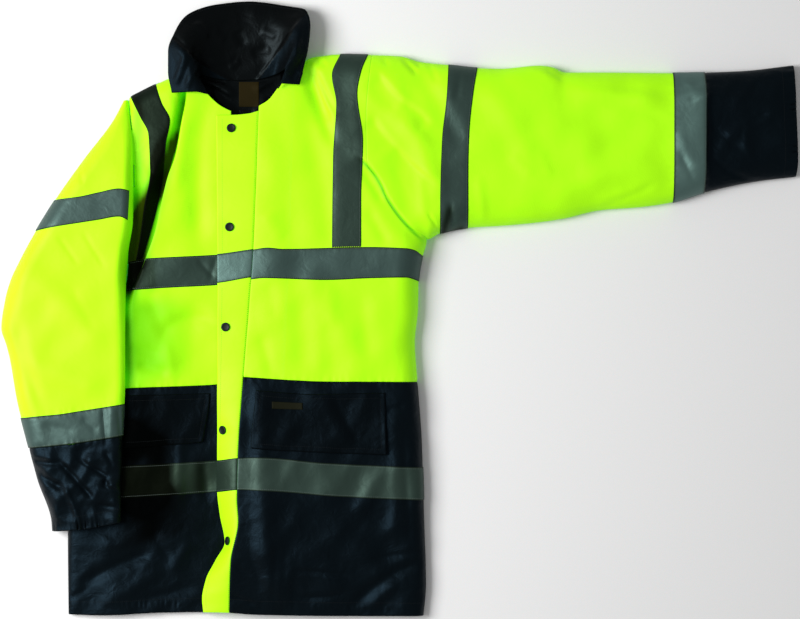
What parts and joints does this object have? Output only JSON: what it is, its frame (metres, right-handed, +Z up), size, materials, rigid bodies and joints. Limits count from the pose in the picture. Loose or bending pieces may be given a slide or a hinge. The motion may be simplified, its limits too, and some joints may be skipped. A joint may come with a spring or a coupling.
{
  "type": "hi-vis work jacket",
  "caption": "Padded high-visibility parka in lime yellow and navy with silver tapes, laid flat on its back, one sleeve stretched out and the other folded down.",
  "frame": {"origin": "on the ground under the middle of the outline", "axes": "+X towards the cuff of the stretched sleeve, the wearer's left; +Y towards the collar; +Z up from the ground, out of the jacket's front"},
  "size_m": [1.2776, 0.987, 0.0539],
  "materials": {
    "yellow_cloth": "coated weave, satin",
    "navy_cloth": "coated weave, satin",
    "silver_tape": "reflective beads, grey by day",
    "black_lining": "smooth lining",
    "label_brown": "woven, matt",
    "stud_black": "satin"
  },
  "bodies": {
    "root": {"back_yellow": "yellow_cloth", "front_left_yellow": "yellow_cloth", "front_right_yellow": "yellow_cloth", "storm_flap": "yellow_cloth", "sleeve_left_yellow": "yellow_cloth", "sleeve_right_yellow": "yellow_cloth", "back_navy": "navy_cloth", "front_left_navy": "navy_cloth", "front_right_navy": "navy_cloth", "pocket_flap_left": "navy_cloth", "pocket_flap_right": "navy_cloth", "sleeve_left_navy": "navy_cloth", "sleeve_right_navy": "navy_cloth", "collar": "navy_cloth", "back_chest_tape": "silver_tape", "back_hem_tape": "silver_tape", "back_brace_tape_left": "silver_tape", "back_brace_tape_right": "silver_tape", "front_left_brace_tape": "silver_tape", "front_left_chest_tape": "silver_tape", "front_left_hem_tape": "silver_tape", "front_right_brace_tape": "silver_tape", "front_right_chest_tape": "silver_tape", "front_right_hem_tape": "silver_tape", "flap_chest_tape": "silver_tape", "flap_hem_tape": "silver_tape", "sleeve_left_arm_tape": "silver_tape", "sleeve_left_cuff_tape": "silver_tape", "sleeve_right_arm_tape": "silver_tape", "sleeve_right_cuff_tape": "silver_tape", "neck_lining": "black_lining", "size_tab": "black_lining", "pocket_label": "black_lining", "neck_label": "label_brown", "press_stud_1": "stud_black", "press_stud_2": "stud_black", "press_stud_3": "stud_black", "press_stud_4": "stud_black", "press_stud_5": "stud_black"}
  },
  "joints": []
}
